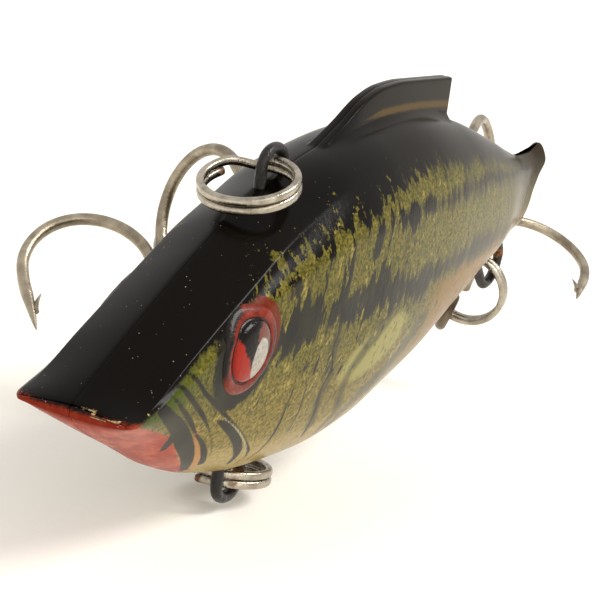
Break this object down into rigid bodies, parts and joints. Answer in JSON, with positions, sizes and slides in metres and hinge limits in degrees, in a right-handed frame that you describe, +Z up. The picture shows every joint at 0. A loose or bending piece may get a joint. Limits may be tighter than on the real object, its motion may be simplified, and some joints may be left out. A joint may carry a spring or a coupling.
{
  "type": "lipless rattling crankbait",
  "caption": "Hollow fish-shaped fishing lure with a flat sloping forehead, wire hangers, split rings, swinging treble hooks, ballast and captive rattle shot.",
  "frame": {"origin": "centre of the whole lure's footprint, at the height of its lowest point, with the body level", "axes": "+X from the nose to the tail, +Y to the fish's right side, +Z up through the dorsal fin"},
  "size_m": [0.0859, 0.0292, 0.0276],
  "materials": {
    "painted_body": "clear-coated paint on moulded plastic: near-black back, olive and yellow-green flank with brushed dark bars, orange-red chin, cream belly",
    "black_wire": "steel wire under thick black paint, worn to bronze at the bends",
    "nickel_ring": "nickel-plated flat spring wire, dulled and touched with rust at the cut end",
    "bronzed_hook": "thinly plated steel wire, aged to warm grey-brown",
    "lead": "dull cast lead, finer than cast iron",
    "shot_steel": "smooth bearing-steel balls"
  },
  "bodies": {
    "lure_body": {"left_body_shell": "painted_body", "right_body_shell": "painted_body", "line_tie_wire": "black_wire", "belly_hanger_wire": "black_wire", "tail_hanger_wire": "black_wire", "front_ballast_weight": "lead", "belly_ballast_weight": "lead"},
    "line_tie_ring": {"line_tie_split_ring": "nickel_ring"},
    "belly_ring": {"belly_split_ring": "nickel_ring"},
    "belly_treble": {"belly_treble_double_hook": "bronzed_hook", "belly_treble_single_hook": "bronzed_hook"},
    "tail_ring": {"tail_split_ring": "nickel_ring"},
    "tail_treble": {"tail_treble_double_hook": "bronzed_hook", "tail_treble_single_hook": "bronzed_hook"},
    "upper_shot_1": {"upper_rattle_shot_1": "shot_steel"},
    "upper_shot_2": {"upper_rattle_shot_2": "shot_steel"},
    "upper_shot_3": {"upper_rattle_shot_3": "shot_steel"},
    "lower_shot_1": {"lower_rattle_shot_1": "shot_steel"},
    "lower_shot_2": {"lower_rattle_shot_2": "shot_steel"},
    "lower_shot_3": {"lower_rattle_shot_3": "shot_steel"},
    "tail_shot_1": {"tail_rattle_shot_1": "shot_steel"},
    "tail_shot_2": {"tail_rattle_shot_2": "shot_steel"}
  },
  "joints": [
    {"name": "line_tie_ring_swing", "type": "hinge", "parent": "lure_body", "child": "line_tie_ring", "pos_m": [-0.0229, -0.00907, 0.02294], "axis": [0, 1, 0], "range_deg": [0, 160]},
    {"name": "belly_ring_swing", "type": "hinge", "parent": "lure_body", "child": "belly_ring", "pos_m": [-0.0229, -0.00907, 0.00222], "axis": [-0.5497, 0.8348, 0.0319], "range_deg": [0, 120]},
    {"name": "belly_treble_swing", "type": "hinge", "parent": "belly_ring", "child": "belly_treble", "pos_m": [-0.01795, -0.00579, 0.00168], "axis": [0.6911, -0.6957, 0.1958], "range_deg": [-120, 0]},
    {"name": "tail_ring_swing", "type": "hinge", "parent": "lure_body", "child": "tail_ring", "pos_m": [0.01855, -0.00907, 0.0114], "axis": [-0.2541, 0.8227, 0.5086], "range_deg": [-45, 75]},
    {"name": "tail_treble_swing", "type": "hinge", "parent": "tail_ring", "child": "tail_treble", "pos_m": [0.01942, -0.00578, 0.00651], "axis": [-0.3046, 0.9032, 0.3022], "range_deg": [-15, 120]},
    {"name": "upper_shot_1_slide", "type": "slide", "parent": "lure_body", "child": "upper_shot_1", "axis": [1, 0, 0], "range_m": [0, 0.003]},
    {"name": "upper_shot_2_slide", "type": "slide", "parent": "lure_body", "child": "upper_shot_2", "axis": [1, 0, 0], "range_m": [0, 0.003]},
    {"name": "upper_shot_3_slide", "type": "slide", "parent": "lure_body", "child": "upper_shot_3", "axis": [1, 0, 0], "range_m": [0, 0.003]},
    {"name": "lower_shot_1_slide", "type": "slide", "parent": "lure_body", "child": "lower_shot_1", "axis": [1, 0, 0], "range_m": [0, 0.003]},
    {"name": "lower_shot_2_slide", "type": "slide", "parent": "lure_body", "child": "lower_shot_2", "axis": [1, 0, 0], "range_m": [0, 0.003]},
    {"name": "lower_shot_3_slide", "type": "slide", "parent": "lure_body", "child": "lower_shot_3", "axis": [1, 0, 0], "range_m": [0, 0.003]},
    {"name": "tail_shot_1_slide", "type": "slide", "parent": "lure_body", "child": "tail_shot_1", "axis": [1, 0, 0], "range_m": [0, 0.0022]},
    {"name": "tail_shot_2_slide", "type": "slide", "parent": "lure_body", "child": "tail_shot_2", "axis": [1, 0, 0], "range_m": [0, 0.0022]}
  ]
}
